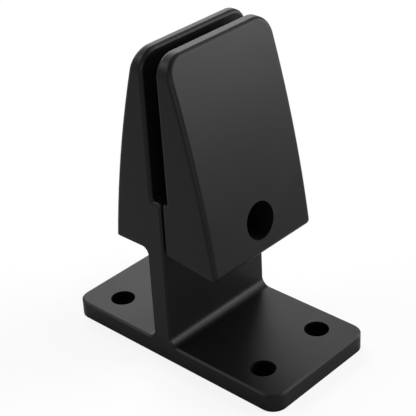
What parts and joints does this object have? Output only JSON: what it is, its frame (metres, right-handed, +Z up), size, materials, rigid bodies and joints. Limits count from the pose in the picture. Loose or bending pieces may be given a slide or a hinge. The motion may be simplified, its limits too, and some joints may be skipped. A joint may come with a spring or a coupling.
{
  "type": "desk screen bracket",
  "caption": "Upright screen bracket with a base plate that screws to a desk, and a slot between a fixed jaw and a jaw that a cap screw clamps on the panel.",
  "frame": {"origin": "middle of the base's underside, on the desk", "axes": "+X across the panel towards the clamp jaw, +Y along the slot, +Z up from the desk"},
  "size_m": [0.075, 0.0394, 0.091],
  "materials": {
    "bracket_finish": "satin black coating on extruded aluminium",
    "screw_steel": "black oxide on steel"
  },
  "bodies": {
    "bracket": {"body": "bracket_finish"},
    "jaw": {"clamp_jaw": "bracket_finish"},
    "screw": {"clamp_screw": "screw_steel"}
  },
  "joints": [
    {"name": "jaw_slide", "type": "slide", "parent": "bracket", "child": "jaw", "axis": [1, 0, 0], "range_m": [0, 0.005]},
    {"name": "screw_turn", "type": "hinge", "parent": "jaw", "child": "screw", "pos_m": [0.00375, 0, 0.042], "axis": [1, 0, 0], "range_deg": [0, 1800]}
  ],
  "couplings": [
    {"joint": "screw_turn", "follows": "jaw_slide", "rad_per_m": 6283.2}
  ]
}
